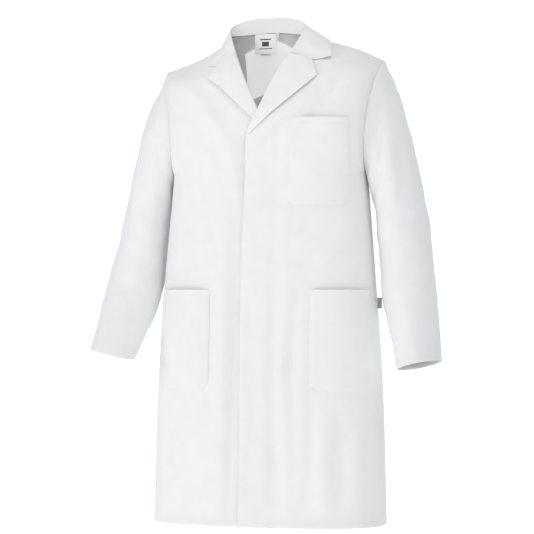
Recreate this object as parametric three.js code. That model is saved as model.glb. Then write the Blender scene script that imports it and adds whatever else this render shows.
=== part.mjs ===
// A man's laboratory coat in white woven cloth, hanging by its loop.
// Millimetres. +Z is up, the front faces -Y and +X is the wearer's left.
// The origin is the hanger loop at the nape; DEPTH_OF_NAPE puts it behind the coat's own axis.
import * as THREE from 'three';
import { mergeVertices } from 'three/addons/utils/BufferGeometryUtils.js';

// Driving dimensions

const COAT_LENGTH = 1030;          // nape to hem
const DEPTH_OF_NAPE = 45;          // nape behind the axis of the skirt
const ARMPIT_DROP = 300;           // nape to the underarm point, where the skirt rows begin
const HEM_HALF_WIDTH = 247;
const ARMPIT_HALF_WIDTH = 206;
const WAIST_HALF_WIDTH = 226;
const WAIST_DROP = 540;
const HIP_HALF_WIDTH = 240;
const HIP_DROP = 760;
const SHOULDER_TIP = new THREE.Vector3(235, 50, -68);
const ARMHOLE_HALF_DEPTH = 60;
const ARMHOLE_HOLLOW = 9;          // how far the armhole dips in between its top and its foot
const NECK_POINT = new THREE.Vector3(84, 14, -10);

const CLOTH = 2;                   // thickness of one sewn layer
const SEAM_GAP = 0.5;              // clearance between pieces that are sewn together
const LAYER_GAP = 0.4;             // clearance between layers that lie on each other
const SQUARENESS = 2.6;            // exponent of the body's plan outline

const OVERLAP_TOP = 24;            // front edge past the centre line at the break
const OVERLAP_ARMPIT = 28;         // and at the armpit level, where the opening folds begin
const OVERLAP_SKIRT = 37;          // and from the waist down
const BREAK_DROP = 222;            // nape to the foot of the lapel
const CHEST_DEPTH = 98.5;          // centre front ahead of the axis at the fold's top
const FOLD_FOOT_DEPTH = 113;       // the same at the fold's foot
const FOLD_FOOT_X = 145;           // where the left fold meets the hem
const UNDER_FOLD_DROP = 600;       // where the right front's shorter fold begins

const FOLD_TIP = 0.03;             // the flaps start this share of the skirt below their fold's top

const FLY_WIDTH = 66;              // concealed button stand behind the left front edge
const EDGE_SETBACK = 3;            // how far it starts behind the edge
const STUD_COUNT = 5;
const STUD_TOP_DROP = 245;
const STUD_PITCH = 175;
const STUD_X = -16;
const STUD_RADIUS = 6;
const STUD_BORE = 2.4;
const STUD_CLEARANCE = 0.5;
const STUD_RECESS = 0.8;           // how far the stud's tip stops short of the socket's face
const SOCKET_HEIGHT = 1.8;
const STUD_DISC_HEIGHT = 1;
const STUD_TILT = 0.2;             // the fronts slope, so each half sits a little off its cloth

const BACK_DEPTHS = [[45, 0], [68, -55], [91, -150], [96, -230], [90, -400], [86, -560], [98, -850], [107, -1030]];
const BACK_NECK = [[0, 45, 0], [34, 41, -2], [63, 30, -6]];
const VENT_HEIGHT = 330;
const VENT_UNDERLAP = 45;
const NECK_START = 0.7;            // share of the upper back where the centre seam reaches the nape
const FACING_DROP = 112;           // facing inside the back neck
const FACING_HALF_WIDTH = 62;
const FACING_TOP_GAP = 0.02;       // its top stops this share of the upper back short of the nape
const FACING_DEPTH = 2.9;          // its outer side behind the outside of the back

const STAND_HEIGHT = 33;           // collar fold above the nape
const COLLAR_FALL_DROP = 20;       // outer edge of the collar below the nape at the back
const COLLAR_CROWN = 5;            // how far the fall stands round between fold and edge
const COLLAR_TIP = [130, -61];
const NOTCH = [101, -67];          // where the lapel's top edge leaves the collar
const LAPEL_TIP = [118, -103];
const LAPEL_TIP_SHARE = 0.86;      // share of the roll line at which the lapel reaches its tip
const LAPEL_FOOT_SHARE = 0.18;     // share of the front's inner edge where the roll line starts
const GORGE_SHARE = 4 / 6;         // and where the collar takes over
const LAPEL_BELLY = 5;
const BREAK_SETBACK = 4;           // the lapel's foot behind the front edge
const ROLL_GAP = 0.6;              // clearance along the roll line

const UNDER_SLEEVE_ARC = 2.6;      // radians of the sleeve's round that its under piece takes
const SLEEVE_LENGTH = 640;
const SLEEVE_START = 0.0006;       // clearance from the armhole edge, as a share of the sleeve
const CUFF_HEM = 30;
const CUFF_HEM_END = 0.998;        // share of the sleeve where its turn-up stops
const SKIRT_HEM = 20;

const CHEST_POCKET = { inner: 63, outer: 185, top: -192, bottom: -371, corner: 22, puff: 13 };
const SKIRT_POCKET = { inner: 108, outer: 221, top: -545, bottom: -752, corner: 26, puff: 15 };
const POCKET_SEAM_MARGIN = 6;      // least distance from a pocket to the side seam
const POCKET_CLEARANCE = 0.9;      // rim of a pocket off the front
const POCKET_SIDE_CLEARANCE = 1.5; // more of it where the front turns towards the side

const LABEL = { width: 46, height: 42, thick: 0.8, x: -12, top: -1 };
const SIDE_TAB = { width: 9, height: 22, thick: 1, drop: 572 };
const LOOP = { halfWidth: 12, sag: 22, band: 5, thick: 1.2, top: 3 };

// Lines down each sleeve from the armhole to the cuff.
const SLEEVES = {
  left: {
    tilt: 0.4,                     // how far the cuff's cut turns from level to square
    outer: [[270, 48, -150], [314, 34, -310], [345, 5, -480], [374, -60, -688]],
    inner: [[221, 14, -368], [231, 12, -450], [243, -8, -560], [287, -84, -707]],
  },
  right: {
    tilt: 0,
    outer: [[268, 48, -150], [309, 34, -310], [341, 2, -480], [363, -92, -668]],
    inner: [[219, 14, -368], [227, 12, -450], [236, -14, -560], [262, -116, -689]],
  },
};
const SLEEVE_HALF_DEPTHS = [[ARMHOLE_HALF_DEPTH, 0], [70, 1], [67, 2], [57, 3], [44, 4]];

const cloth = (color) => new THREE.MeshStandardMaterial({ color, roughness: 0.85, metalness: 0 });
const bodyCloth = 0xf4f7f8;
const innerCloth = 0xe6ebec;
const tabCloth = 0x5c6468;
const labelCloth = 0xffffff;
const studMetal = 0xc9cdd0;

const coat = new THREE.Group();
coat.position.y = -DEPTH_OF_NAPE;

// Small tools

const vec = (x, y, z) => new THREE.Vector3(x, y, z);
const lerp = THREE.MathUtils.lerp;
const smooth = THREE.MathUtils.smoothstep;
const mirrored = (p) => vec(-p.x, p.y, p.z);

// Value at `at` on a smooth line through [value, place] pairs.
function profile(pairs, at) {
  const line = [...pairs].sort((a, b) => a[1] - b[1]);
  const last = line.length - 1;
  if (at <= line[0][1]) return line[0][0];
  if (at >= line[last][1]) return line[last][0];
  const i = line.findIndex((pair) => pair[1] >= at) - 1;
  const [v0, v1, v2, v3] = [line[Math.max(i - 1, 0)], line[i], line[i + 1], line[Math.min(i + 2, last)]];
  const span = v2[1] - v1[1];
  const u = (at - v1[1]) / span;
  const m1 = ((v2[0] - v0[0]) / (v2[1] - v0[1])) * span;
  const m2 = ((v3[0] - v1[0]) / (v3[1] - v1[1])) * span;
  return (2 * u ** 3 - 3 * u ** 2 + 1) * v1[0] + (u ** 3 - 2 * u ** 2 + u) * m1
    + (3 * u ** 2 - 2 * u ** 3) * v2[0] + (u ** 3 - u ** 2) * m2;
}

// A closed skin between two grids of points, outer and inner, each rows x columns.
function skinBetween(outer, inner, { ring = false } = {}) {
  const rows = outer.length;
  const cols = outer[0].length;
  const position = [];
  for (const grid of [outer, inner]) {
    for (const row of grid) row.forEach((p) => position.push(p.x, p.y, p.z));
  }
  const at = (layer, i, j) => layer * rows * cols + i * cols + (j % cols);
  const index = [];
  const quad = (a, b, c, d) => index.push(a, b, c, a, c, d);
  const spans = ring ? cols : cols - 1;
  for (let i = 0; i < rows - 1; i += 1) {
    for (let j = 0; j < spans; j += 1) {
      quad(at(0, i, j), at(0, i, j + 1), at(0, i + 1, j + 1), at(0, i + 1, j));
      quad(at(1, i, j), at(1, i + 1, j), at(1, i + 1, j + 1), at(1, i, j + 1));
    }
    if (!ring) {
      quad(at(0, i, 0), at(0, i + 1, 0), at(1, i + 1, 0), at(1, i, 0));
      quad(at(0, i, cols - 1), at(1, i, cols - 1), at(1, i + 1, cols - 1), at(0, i + 1, cols - 1));
    }
  }
  for (let j = 0; j < spans; j += 1) {
    quad(at(0, 0, j), at(1, 0, j), at(1, 0, j + 1), at(0, 0, j + 1));
    quad(at(0, rows - 1, j), at(0, rows - 1, j + 1), at(1, rows - 1, j + 1), at(1, rows - 1, j));
  }
  const geometry = new THREE.BufferGeometry();
  geometry.setAttribute('position', new THREE.Float32BufferAttribute(position, 3));
  geometry.setIndex(index);
  if (volumeOf(geometry) < 0) {
    for (let i = 0; i < index.length; i += 3) [index[i + 1], index[i + 2]] = [index[i + 2], index[i + 1]];
    geometry.setIndex(index);
  }
  geometry.computeVertexNormals();
  return geometry;
}

function volumeOf(geometry) {
  const place = geometry.getAttribute('position');
  const corners = [vec(), vec(), vec()];
  let sum = 0;
  for (let i = 0; i < geometry.index.count; i += 3) {
    corners.forEach((corner, k) => corner.fromBufferAttribute(place, geometry.index.getX(i + k)));
    sum += corners[0].dot(corners[1].clone().cross(corners[2])) / 6;
  }
  return sum;
}

// A skin of the given thickness under a surface: `surface(a, b)` gives { p, n }, n outwards.
function skin(surface, as, bs, { from = 0, thick = CLOTH, ring = false } = {}) {
  const grid = as.map((a) => bs.map((b) => surface(a, b)));
  const shifted = (depth) => grid.map((row) => row.map(({ p, n, d = 0 }) => p.clone().addScaledVector(n, d - depth)));
  return skinBetween(shifted(from), shifted(from + thick), { ring });
}

const steps = (count, first = 0, last = 1) =>
  Array.from({ length: count + 1 }, (_, i) => lerp(first, last, i / count));

function add(name, geometry, color, flip = false, metal = false) {
  if (flip) {
    geometry.applyMatrix4(new THREE.Matrix4().makeScale(-1, 1, 1));
    const { index } = geometry;
    for (let i = 0; i < index.count; i += 3) {
      const second = index.getX(i + 1);
      index.setX(i + 1, index.getX(i + 2));
      index.setX(i + 2, second);
    }
    geometry.computeVertexNormals();
  }
  const material = cloth(color);
  if (metal) Object.assign(material, { roughness: 0.35, metalness: 0.9 });
  const mesh = new THREE.Mesh(geometry, material);
  mesh.name = name;
  coat.add(mesh);
}

// Armhole and body outline
// Everything is laid out on the wearer's left and turned over for the right.

const UNDERARM = vec(ARMPIT_HALF_WIDTH, 8, -ARMPIT_DROP);
const armholeCentre = SHOULDER_TIP.clone().add(UNDERARM).multiplyScalar(0.5);
const armholeReach = SHOULDER_TIP.clone().sub(armholeCentre);

// Angle 0 is the shoulder tip, PI the underarm; side is -1 at the front and +1 at the back.
function armholePoint(angle, side) {
  const p = armholeCentre.clone().addScaledVector(armholeReach, Math.cos(angle));
  p.y += side * ARMHOLE_HALF_DEPTH * Math.sin(angle);
  p.x -= ARMHOLE_HOLLOW * Math.sin(angle) ** 2;
  return p;
}

const halfWidth = (z) => profile([
  [ARMPIT_HALF_WIDTH, -ARMPIT_DROP], [WAIST_HALF_WIDTH, -WAIST_DROP],
  [HIP_HALF_WIDTH, -HIP_DROP], [HEM_HALF_WIDTH, -COAT_LENGTH],
], z);
const sideSeam = (z) => vec(halfWidth(z), lerp(0, UNDERARM.y, smooth(z, -WAIST_DROP, -ARMPIT_DROP)), z);
const bulge = (share) => (1 - Math.max(0, share) ** SQUARENESS) ** (1 / SQUARENESS);

// The fold about which the left front opens: a straight line in the cloth from its edge to the hem.
const foldShare = (z) => (-ARMPIT_DROP - z) / (COAT_LENGTH - ARMPIT_DROP);
const foldX = (z) => lerp(-OVERLAP_ARMPIT, FOLD_FOOT_X, foldShare(z));
const foldDepth = (z) => lerp(CHEST_DEPTH, FOLD_FOOT_DEPTH, foldShare(z));
const frontDepth = (z) => foldDepth(z) / bulge(foldX(z) / halfWidth(z));
const underFoldX = (z) =>
  lerp(-OVERLAP_ARMPIT, FOLD_FOOT_X, (-UNDER_FOLD_DROP - z) / (COAT_LENGTH - UNDER_FOLD_DROP));
const edgeX = (z) => -profile([
  [OVERLAP_TOP, -BREAK_DROP], [OVERLAP_ARMPIT, -ARMPIT_DROP],
  [OVERLAP_SKIRT, -WAIST_DROP], [OVERLAP_SKIRT, -COAT_LENGTH],
], z);

// Where the right front lies under the fly: one layer, the fly and the press studs deeper.
const FLY_DEPTH = CLOTH + LAYER_GAP;
const SOCKET_DEPTH = FLY_DEPTH + CLOTH + LAYER_GAP;
const STUD_DEPTH = SOCKET_DEPTH + SOCKET_HEIGHT + STUD_CLEARANCE;
const UNDER_DEPTH = STUD_DEPTH + STUD_DISC_HEIGHT + LAYER_GAP;

// Front edge, roll line and neck seam from the armpit level to the shoulder seam.
function innerEdge(under) {
  const ROLL_MIDDLE = [37, -65, -95];
  const ROLL_CROSSING = [0, -95, -177];
  const points = [
    [-OVERLAP_ARMPIT, -CHEST_DEPTH, -ARMPIT_DROP], [-OVERLAP_TOP, -CHEST_DEPTH, -BREAK_DROP],
    ROLL_CROSSING, ROLL_MIDDLE, [58, -38, -54], [74, -14, -28], NECK_POINT.toArray(),
  ];
  const sunk = (z) => (under ? UNDER_DEPTH * (1 - smooth(z, ROLL_CROSSING[2], ROLL_MIDDLE[2])) : 0);
  return new THREE.CatmullRomCurve3(points.map(([x, y, z]) => vec(x, y + sunk(z), z)));
}
const innerEdges = [innerEdge(false), innerEdge(true)];
const FRONT_ARMHOLE_ANGLES = [[180, 0], [109, 1], [86, 2], [52, 3], [34, 4], [17, 5], [0, 6]];

// Ends of a front row: level 0 is the hem, 1 the armpit and 2 the shoulder seam.
function frontRow(level, under) {
  if (level <= 1) {
    const z = lerp(-COAT_LENGTH, -ARMPIT_DROP, level);
    const depth = frontDepth(z) - (under ? UNDER_DEPTH : 0);
    return [vec(edgeX(z), -depth, z), sideSeam(z), 0];
  }
  const share = Math.min(level - 1, 1);
  const degrees = profile(FRONT_ARMHOLE_ANGLES, share * 6);
  const armhole = armholePoint(THREE.MathUtils.degToRad(degrees), -1);
  return [innerEdges[under ? 1 : 0].getPoint(share), armhole, smooth(share, 0.5, 1)];
}

// Share 0 is the centre (or the inner edge, past it), 1 the side; below 0 lies the overlap.
const rowStart = ([a]) => Math.max(0, a.x);
const shareAt = (row, x) => Math.min(1, (x - rowStart(row)) / (row[1].x - rowStart(row)));

// A row is a rounded quarter of the body, and turns straight towards the shoulder.
function rowPoint(row, share) {
  const [a, b, straight] = row;
  const start = rowStart(row);
  const x = start + share * (b.x - start);
  const turn = lerp(bulge(share), 1 - Math.max(0, share), straight);
  return vec(x, b.y + (a.y - b.y) * turn, lerp(a.z, b.z, (x - a.x) / (b.x - a.x)));
}

const shoulderNormal = vec(0, 0, 1).projectOnPlane(SHOULDER_TIP.clone().sub(NECK_POINT).normalize()).normalize();

// Point and outward normal of a body surface, whose rows `rowAt` gives, at a level and a share.
function bodySurface(rowAt, level, share, side) {
  const nudge = 1e-5;
  const step = 0.002;
  const row = rowAt(level);
  const p = rowPoint(row, share);
  const across = rowPoint(row, Math.min(1, share + nudge)).sub(rowPoint(row, share - nudge));
  const up = rowPoint(rowAt(Math.min(2, level + step)), share).sub(rowPoint(rowAt(level - step), share));
  const n = across.cross(up).multiplyScalar(-side).normalize();
  if (row[0].x === 0) n.x *= smooth(share, 0, 0.1); // the centre back seam lies in the middle plane
  n.lerp(shoulderNormal, smooth(level, 1.9, 2)).normalize();
  p.y += side * (SEAM_GAP / 2);
  return { p, n };
}

const frontSurface = (level, share, under) => bodySurface((at) => frontRow(at, under), level, share, -1);

// The front at a place seen from ahead.
function onFront(x, z, under = false) {
  let [low, high] = [0, 2];
  const holdShare = (row) => shareAt(row, THREE.MathUtils.clamp(x, row[0].x, row[1].x));
  for (let i = 0; i < 30; i += 1) {
    const level = (low + high) / 2;
    const row = frontRow(level, under);
    if (rowPoint(row, holdShare(row)).z < z) low = level;
    else high = level;
  }
  return frontSurface(low, holdShare(frontRow(low, under)), under);
}

// A body skin between two sideways limits in x, each a function of the row.
function panelSkin(rowAt, side, levels, columns, limits, options = {}) {
  const places = steps(columns).slice(options.dropFirst ? 1 : 0, options.dropLast ? -1 : undefined);
  const surface = (level, place) => {
    const row = rowAt(level);
    const [x0, x1] = limits(row);
    const x = lerp(x0, x1, Math.sin((place * Math.PI) / 2));
    return bodySurface(rowAt, level, place === 1 && x1 === row[1].x ? 1 : shareAt(row, x), side);
  };
  return skin(surface, levels, places, options);
}
const frontSkin = (levels, columns, limits, options = {}) =>
  panelSkin((at) => frontRow(at, options.under), -1, levels, columns, limits, options);
const backSkin = (levels, columns, limits, options = {}) =>
  panelSkin(backRow, 1, levels, columns, limits, options);

const levelOf = (z) => (z + COAT_LENGTH) / (COAT_LENGTH - ARMPIT_DROP);
const ROW_GAP = 0.004;             // least step between rows, as a share of the skirt
const COLUMNS = 10;
const FLAP_COLUMNS = 5;
const skirtLevels = steps(10);
const upperLevels = steps(10, 1, 2);
const inset = SEAM_GAP / 2;

// Fronts

const foldOf = (under) => (under ? underFoldX : foldX);
const foldTopOf = (under) => (under ? -UNDER_FOLD_DROP : -ARMPIT_DROP);
const sideName = (under) => (under ? 'right' : 'left');

// Skirt rows that the panel and its flap share, so that their edges match along the fold.
function skirtRows(under) {
  const top = levelOf(foldTopOf(under));
  return [...skirtLevels, top - FOLD_TIP, top].sort((a, b) => a - b)
    .filter((level, i, all) => i === 0 || level - all[i - 1] > ROW_GAP);
}

function addFronts() {
  for (const under of [false, true]) {
    const fold = foldOf(under);
    const top = foldTopOf(under);
    const inner = ([a]) => (a.z < top ? Math.max(a.x, fold(a.z) + inset) : a.x);
    const levels = [...skirtRows(under), ...upperLevels.slice(1)];
    const panel = frontSkin(levels, COLUMNS, (row) => [inner(row), row[1].x], { under });
    add(`front_${sideName(under)}_panel`, panel, bodyCloth, under);
    const flapLevels = levels.filter((level) => level <= levelOf(top) - FOLD_TIP + 1e-6);
    const flap = frontSkin(flapLevels, FLAP_COLUMNS, ([a]) => [a.x, fold(a.z) - inset], { under });
    add(`front_${sideName(under)}_flap`, flap, bodyCloth, under);
  }
}

// Second layers behind the front edges: the fly on the left, the facing on the right.
// Each is cut along the fold, so that its lower part opens with the flap.
function addEdgeStrips() {
  for (const under of [false, true]) {
    const fold = foldOf(under);
    const name = under ? 'facing' : 'fly';
    const options = { under, from: FLY_DEPTH };
    const outer = ([a]) => a.x + EDGE_SETBACK + FLY_WIDTH;
    const rows = [...skirtRows(under), ...upperLevels.slice(1, 3)];
    const cut = (z) => (z < foldTopOf(under) ? fold(z) : -Infinity);
    const middle = (FLY_WIDTH - OVERLAP_ARMPIT) / 2;
    const upper = rows.filter((level) => cut(lerp(-COAT_LENGTH, -ARMPIT_DROP, level)) < middle);
    const fixed = frontSkin(upper, 3, (row) => [
      Math.max(row[0].x + EDGE_SETBACK, cut(row[0].z) + inset), outer(row)], options);
    add(`${name}_upper`, fixed, innerCloth, under);
    const lower = rows.filter((level) => level <= levelOf(foldTopOf(under)) - 2 * FOLD_TIP);
    const moving = frontSkin([HEM_ROW, ...lower.slice(1)], 3, (row) => [
      row[0].x + EDGE_SETBACK, Math.min(outer(row), fold(row[0].z) - inset)], options);
    add(`${name}_lower`, moving, innerCloth, under);
  }
}

// Back

const BACK_ARMHOLE_ANGLES = [[180, 0], [140, 1], [105, 2], [70, 3], [35, 4], [0, 5]];
const backNeck = new THREE.CatmullRomCurve3(
  [...BACK_NECK.map(([x, y, z]) => vec(x, y, z)), NECK_POINT]);
const backDepth = (z) => profile(BACK_DEPTHS, z);

function backRow(level) {
  if (level <= 1) {
    const z = lerp(-COAT_LENGTH, -ARMPIT_DROP, level);
    return [vec(0, backDepth(z), z), sideSeam(z), 0];
  }
  const share = Math.min(level - 1, 1);
  const angle = THREE.MathUtils.degToRad(profile(BACK_ARMHOLE_ANGLES, share * 5));
  const z = lerp(-ARMPIT_DROP, 0, Math.min(1, share / NECK_START));
  const a = share < NECK_START
    ? vec(0, backDepth(z), z) : backNeck.getPoint((share - NECK_START) / (1 - NECK_START));
  return [a, armholePoint(angle, 1), smooth(share, 0.1, 0.5)];
}

function addBack() {
  const levels = [...skirtLevels, ...upperLevels.slice(1)];
  const columns = ([a, b]) => [Math.max(a.x, inset), b.x];
  for (const flip of [false, true]) {
    add(`back_${flip ? 'right' : 'left'}_panel`, backSkin(levels, COLUMNS, columns), bodyCloth, flip);
  }
  const ventTop = levelOf(VENT_HEIGHT - COAT_LENGTH);
  const between = skirtLevels.filter((level) => level > HEM_ROW && level < ventTop);
  const ventLevels = [HEM_ROW, ...between, ventTop];
  const vent = backSkin(ventLevels, 3, () => [0, VENT_UNDERLAP], { from: FLY_DEPTH });
  add('back_vent_underlap', vent, innerCloth);
  const facingRows = [1 + NECK_START * (1 - FACING_DROP / ARMPIT_DROP), 1 + NECK_START - FACING_TOP_GAP];
  const facing = (share, x) => {
    const level = lerp(...facingRows, share);
    const { p, n } = bodySurface(backRow, level, shareAt(backRow(level), Math.abs(x)), 1);
    return x < 0 ? { p: mirrored(p), n: mirrored(n) } : { p, n };
  };
  const facingAcross = steps(10, -FACING_HALF_WIDTH, FACING_HALF_WIDTH);
  add('back_neck_facing', skin(facing, steps(5), facingAcross, { from: FACING_DEPTH }), innerCloth);
}

// Turned-up hems

const SKIRT_HEM_DEPTH = CLOTH + LAYER_GAP;
const HEM_ROW = levelOf(SKIRT_HEM - COAT_LENGTH) + ROW_GAP; // strips start just above the turn-up

function addHems() {
  const levels = [0, levelOf(SKIRT_HEM - COAT_LENGTH)];
  const options = { from: SKIRT_HEM_DEPTH, dropFirst: true, dropLast: true };
  for (const flip of [false, true]) {
    const hem = backSkin(levels, COLUMNS, ([a, b]) => [Math.max(a.x, inset), b.x], options);
    add(`back_${sideName(flip)}_hem`, hem, innerCloth, flip);
  }
  for (const under of [false, true]) {
    const fold = foldOf(under);
    const fixed = frontSkin(levels, COLUMNS, ([a, b]) => [fold(a.z) + inset, b.x], { ...options, under });
    add(`front_${sideName(under)}_hem`, fixed, innerCloth, under);
    const moving = frontSkin(levels, FLAP_COLUMNS, ([a]) => [a.x, fold(a.z) - inset], { ...options, under });
    add(`flap_${sideName(under)}_hem`, moving, innerCloth, under);
  }
}

// Sleeves
// Rings from the armhole to the cuff, each by its outer point, inner point and half depth.

function sleeveRing(side) {
  const line = (list, first) =>
    new THREE.CatmullRomCurve3([first, ...list.map(([x, y, z]) => vec(x, y, z))], false, 'centripetal');
  const outer = line(SLEEVES[side].outer, SHOULDER_TIP);
  const inner = line(SLEEVES[side].inner, UNDERARM);
  const { tilt } = SLEEVES[side];
  return (share, turn) => {
    const o = outer.getPoint(share);
    const i = inner.getPoint(share);
    const centre = o.clone().add(i).multiplyScalar(0.5);
    const reach = o.clone().sub(centre);
    const along = outer.getTangent(share).add(inner.getTangent(share)).normalize();
    const depth = vec(0, 1, 0).addScaledVector(along, -along.y * tilt * smooth(share, 0, 1)).normalize();
    const p = centre.addScaledVector(reach, Math.cos(turn))
      .addScaledVector(depth, profile(SLEEVE_HALF_DEPTHS, share * 4) * Math.sin(turn));
    p.x -= ARMHOLE_HOLLOW * Math.sin(turn) ** 2 * (1 - smooth(share, 0, 0.25));
    p.x += SEAM_GAP * (1 - smooth(share, 0, 0.1));
    return p;
  };
}

function sleeveSurface(ring) {
  return (share, turn) => {
    const tiny = 0.01;
    const p = ring(share, turn);
    const round = ring(share, turn + tiny).sub(ring(share, turn - tiny));
    const down = ring(Math.min(1, share + tiny), turn).sub(ring(Math.max(0, share - tiny), turn));
    const n = down.cross(round).normalize();
    n.x *= smooth(share, 0, 0.05); // the head of the sleeve is trimmed square to the armhole
    return { p, n: n.normalize() };
  };
}

function addSleeves() {
  const cuffStart = 1 - CUFF_HEM / SLEEVE_LENGTH;
  const shares = [...steps(13, SLEEVE_START, cuffStart), 1];
  const seamTurn = Math.PI - UNDER_SLEEVE_ARC / 2;
  const gapTurn = SEAM_GAP / 2 / ARMHOLE_HALF_DEPTH;
  const topTurns = steps(14, gapTurn - seamTurn, seamTurn - gapTurn);
  const underTurns = steps(8, seamTurn + gapTurn, 2 * Math.PI - seamTurn - gapTurn);
  for (const side of ['left', 'right']) {
    const flip = side === 'right';
    const surface = sleeveSurface(sleeveRing(side));
    add(`top_sleeve_${side}`, skin(surface, shares, topTurns), bodyCloth, flip);
    add(`under_sleeve_${side}`, skin(surface, shares, underTurns), bodyCloth, flip);
    const cuffOptions = { ring: true, from: CLOTH + LAYER_GAP };
    const cuff = skin(surface, [cuffStart, CUFF_HEM_END], [...topTurns, ...underTurns], cuffOptions);
    add(`cuff_hem_${side}`, cuff, innerCloth, flip);
  }
}

// Lapels and collar

const LEAF_LIFT = CLOTH + SEAM_GAP; // outer face of a leaf that lies on the front

function leafPoint(x, z, lift, under) {
  const { p, n } = onFront(x, z, under);
  return { p: p.addScaledVector(n, lift), n };
}

function addLapels() {
  for (const under of [false, true]) {
    const edge = innerEdges[under ? 1 : 0];
    const foot = [BREAK_SETBACK - OVERLAP_TOP, -BREAK_DROP];
    const surface = (share, across) => {
      const roll = edge.getPoint(lerp(LAPEL_FOOT_SHARE, GORGE_SHARE, share));
      const lower = share <= LAPEL_TIP_SHARE;
      const part = lower ? share / LAPEL_TIP_SHARE : (share - LAPEL_TIP_SHARE) / (1 - LAPEL_TIP_SHARE);
      const [start, end] = lower ? [foot, LAPEL_TIP] : [LAPEL_TIP, NOTCH];
      const x = lerp(roll.x + ROLL_GAP, lerp(start[0], end[0], part), across);
      const z = lerp(roll.z, lerp(start[1], end[1], part), across);
      return leafPoint(x, z, LEAF_LIFT + LAPEL_BELLY * share * Math.sin(Math.PI * across), under);
    };
    const shares = [...steps(10, 0, LAPEL_TIP_SHARE), 0.93, 1];
    add(`lapel_${sideName(under)}`, skin(surface, shares, steps(6)), bodyCloth, under);
  }
}

// The collar runs round the neck from one gorge to the other; share 0 is the left gorge.
const FOLD_LINE = [[60, -35, -49], [74, -14, -17], [82, 8, 7], [73, 30, 20], [44, 42, 30], [0, 47, STAND_HEIGHT]];
const NECK_SEAM = [[58, -33, -53], [72, -11, -26], [82, 13, -7], [62, 29, -4], [34, 40, 0], [0, 44, 2]];
const COLLAR_EDGE = [[COLLAR_TIP[0], -36, COLLAR_TIP[1]], [131, -8, -40], [119, 24, -17], [92, 52, -18],
  [54, 66, -19], [0, 71, -COLLAR_FALL_DROP]];

function aroundNeck(half) {
  const left = half.map(([x, y, z]) => vec(x, y, z));
  return new THREE.CatmullRomCurve3([...left, ...left.slice(0, -1).reverse().map(mirrored)]);
}

function leafSurface(from, to, shape) {
  const place = (share, across) => shape(from.getPoint(share).lerp(to.getPoint(share), across), share, across);
  return (share, across) => {
    const tiny = 0.01;
    const p = place(share, across);
    const along = place(Math.min(1, share + tiny), across).sub(place(Math.max(0, share - tiny), across));
    const out = place(share, Math.min(1, across + tiny)).sub(place(share, Math.max(0, across - tiny)));
    return { p, n: along.cross(out).normalize() };
  };
}

const FALL_LIFT = CLOTH + 2 * SEAM_GAP + 1;

function addCollar() {
  const fold = aroundNeck(FOLD_LINE);
  const seam = aroundNeck(NECK_SEAM);
  const edge = aroundNeck(COLLAR_EDGE);
  const around = steps(28);
  const fall = leafSurface(fold, edge, (p, share, across) => {
    const nearFront = 1 - smooth(Math.min(share, 1 - share), 0.02, 0.2);
    p.addScaledVector(vec(0, -nearFront, 1 - nearFront), COLLAR_CROWN * Math.sin(Math.PI * across));
    if (nearFront === 0) return p;
    const front = onFront(Math.abs(p.x), Math.min(p.z, -COLLAR_FALL_DROP)).p;
    p.y = Math.min(p.y, lerp(p.y, front.y - FALL_LIFT, nearFront));
    return p;
  });
  add('collar_fall', skin(fall, around, steps(5), { thick: -CLOTH }), bodyCloth);
  const stand = leafSurface(seam, fold, (p) => {
    const inward = vec(-p.x, 5 - p.y, 0).normalize();
    return p.addScaledVector(inward, CLOTH + LAYER_GAP);
  });
  add('collar_stand', skin(stand, steps(28, 0.04, 0.96), steps(3, 0.02, 0.97), { thick: CLOTH }), innerCloth);
}

// Pockets

// A patch whose rim lies on the front and whose middle stands clear, open along its top.
function pocketSurface({ inner, outer, top, bottom, corner, puff }, under) {
  return (share, across) => {
    const z = lerp(bottom, top, share);
    const rise = Math.min(1, (z - bottom) / corner);
    const cut = corner * (1 - Math.sqrt(1 - (1 - rise) ** 2));
    const side = Math.min(outer, halfWidth(z) - POCKET_SEAM_MARGIN);
    const x = lerp(inner + cut, side - cut, across);
    const { p, n } = onFront(x, z, under);
    const middle = Math.min(1, 4 * across * (1 - across)) ** 0.6;
    const clearance = POCKET_CLEARANCE + POCKET_SIDE_CLEARANCE * across ** 3;
    return { p, n, d: CLOTH + clearance + puff * middle * Math.min(1, 3 * share) };
  };
}

function addPockets() {
  const rows = [0, 0.03, 0.08, 0.2, 0.4, 0.7, 1];
  const across = [0, 0.06, 0.15, 0.3, 0.45, 0.6, 0.7, 0.78, 0.84, 0.89, 0.93, 0.97, 1];
  add('chest_pocket', skin(pocketSurface(CHEST_POCKET, false), rows, across), bodyCloth);
  for (const under of [false, true]) {
    const patch = skin(pocketSurface(SKIRT_POCKET, under), rows, across);
    add(`skirt_pocket_${sideName(under)}`, patch, bodyCloth, under);
  }
}

// Press studs, label, loop and tab

// Turns [radius, depth into the coat] points about a forward axis through `place`.
function turned(points, place) {
  const outline = points.map(([r, depth]) => new THREE.Vector2(r, depth));
  const closed = points[0][0] > 0 ? [...outline, outline[0]] : outline;
  const geometry = new THREE.LatheGeometry(closed, 14);
  geometry.deleteAttribute('normal');
  geometry.deleteAttribute('uv');
  const merged = mergeVertices(geometry, 1e-4);
  merged.translate(place.x, place.y, place.z);
  if (volumeOf(merged) < 0) merged.index.array.reverse();
  merged.computeVertexNormals();
  return merged;
}

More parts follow.
